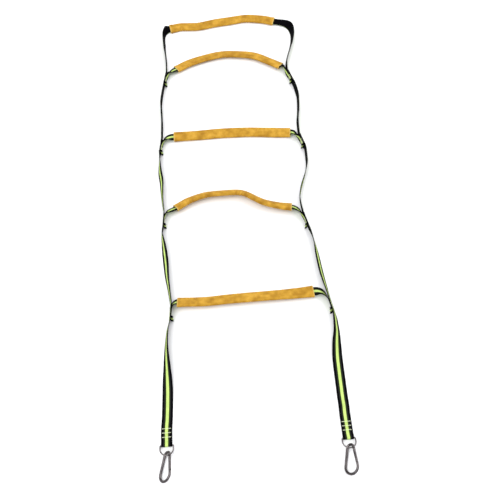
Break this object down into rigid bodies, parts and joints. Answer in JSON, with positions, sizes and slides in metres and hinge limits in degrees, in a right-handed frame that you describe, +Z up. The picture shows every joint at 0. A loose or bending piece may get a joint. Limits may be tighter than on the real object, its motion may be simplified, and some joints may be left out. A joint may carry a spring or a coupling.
{
  "type": "rope ladder",
  "caption": "Flexible climbing ladder of flat striped webbing with leather-sleeved rungs and a snap hook on a D-ring at the end of each side strap.",
  "frame": {"origin": "on the floor under the middle of the ladder as it lies, the centre of its bounding box's base", "axes": "+X across the ladder to the right seen from the hook end, +Y along the ladder away from the hooks, +Z up off the floor"},
  "size_m": [0.4471, 1.4381, 0.0275],
  "materials": {
    "strap_webbing": "woven webbing, black back, striped face",
    "rung_webbing": "woven webbing, striped face",
    "leather": "soft suede leather",
    "thread": "sewn bar tacks",
    "ring_steel": "nickel plated",
    "hook_steel": "nickel plated",
    "gate_steel": "nickel plated",
    "pin_steel": "plain",
    "plunger_brass": "plain"
  },
  "bodies": {
    "rung_5": {"end_loop": "strap_webbing", "sleeve_5": "leather"},
    "rung_4": {"left_rail_4": "strap_webbing", "right_rail_4": "strap_webbing", "rung_webbing_4": "rung_webbing", "sleeve_4": "leather", "rung_tacks_4": "thread"},
    "rung_3": {"left_rail_3": "strap_webbing", "right_rail_3": "strap_webbing", "rung_webbing_3": "rung_webbing", "sleeve_3": "leather", "rung_tacks_3": "thread"},
    "rung_2": {"left_rail_2": "strap_webbing", "right_rail_2": "strap_webbing", "rung_webbing_2": "rung_webbing", "sleeve_2": "leather", "rung_tacks_2": "thread"},
    "rung_1": {"left_rail_1": "strap_webbing", "right_rail_1": "strap_webbing", "rung_webbing_1": "rung_webbing", "sleeve_1": "leather", "rung_tacks_1": "thread"},
    "strap_left": {"left_hook_strap": "strap_webbing", "left_hook_tacks": "thread"},
    "ring_left": {"left_d_ring": "ring_steel"},
    "hook_left": {"left_snap_hook": "hook_steel", "left_gate_rivet": "pin_steel", "left_latch_pin": "pin_steel"},
    "gate_left": {"left_gate": "gate_steel", "left_plunger": "plunger_brass", "left_gate_spring": "pin_steel"},
    "strap_right": {"right_hook_strap": "strap_webbing", "right_hook_tacks": "thread"},
    "ring_right": {"right_d_ring": "ring_steel"},
    "hook_right": {"right_snap_hook": "hook_steel", "right_gate_rivet": "pin_steel", "right_latch_pin": "pin_steel"},
    "gate_right": {"right_gate": "gate_steel", "right_plunger": "plunger_brass", "right_gate_spring": "pin_steel"}
  },
  "joints": [
    {"name": "fold_rung_5", "type": "hinge", "parent": "rung_4", "child": "rung_5", "pos_m": [0, 0.575, 0.03], "axis": [1, 0, 0], "range_deg": [0, 180]},
    {"name": "fold_rung_4", "type": "hinge", "parent": "rung_3", "child": "rung_4", "pos_m": [0, 0.33, 0.045], "axis": [1, 0, 0], "range_deg": [0, 180]},
    {"name": "fold_rung_2", "type": "hinge", "parent": "rung_3", "child": "rung_2", "pos_m": [0, 0.085, 0.06], "axis": [1, 0, 0], "range_deg": [-180, 0]},
    {"name": "fold_rung_1", "type": "hinge", "parent": "rung_2", "child": "rung_1", "pos_m": [0, -0.17, 0.045], "axis": [1, 0, 0], "range_deg": [-180, 0]},
    {"name": "fold_strap_left", "type": "hinge", "parent": "rung_1", "child": "strap_left", "pos_m": [-0.196, -0.45, 0.03], "axis": [1, 0, 0], "range_deg": [-180, 0]},
    {"name": "fold_strap_right", "type": "hinge", "parent": "rung_1", "child": "strap_right", "pos_m": [0.208, -0.45, 0.03], "axis": [1, 0, 0], "range_deg": [-180, 0]},
    {"name": "ring_swing_left", "type": "hinge", "parent": "strap_left", "child": "ring_left", "pos_m": [-0.201, -0.621, 0.0034], "axis": [-1, 0, 0], "range_deg": [0, 95]},
    {"name": "hook_swing_left", "type": "hinge", "parent": "ring_left", "child": "hook_left", "pos_m": [-0.201, -0.6288, 0.00517], "axis": [0, 0.2215, 0.9751], "range_deg": [-30, 30]},
    {"name": "gate_left", "type": "hinge", "parent": "hook_left", "child": "gate_left", "pos_m": [-0.19387, -0.64875, 0.01539], "axis": [0.6719, -0.1751, -0.7197], "range_deg": [0, 30], "stiffness_Nm_per_rad": 0.03, "springref_deg": -28.65},
    {"name": "ring_swing_right", "type": "hinge", "parent": "strap_right", "child": "ring_right", "pos_m": [0.205, -0.638, 0.0034], "axis": [-1, 0, 0], "range_deg": [0, 95]},
    {"name": "hook_swing_right", "type": "hinge", "parent": "ring_right", "child": "hook_right", "pos_m": [0.205, -0.6458, 0.00517], "axis": [0, 0.2215, 0.9751], "range_deg": [-30, 30]},
    {"name": "gate_right", "type": "hinge", "parent": "hook_right", "child": "gate_right", "pos_m": [0.21137, -0.66583, 0.01503], "axis": [0.6393, -0.1535, -0.7535], "range_deg": [0, 30], "stiffness_Nm_per_rad": 0.03, "springref_deg": -28.65}
  ]
}
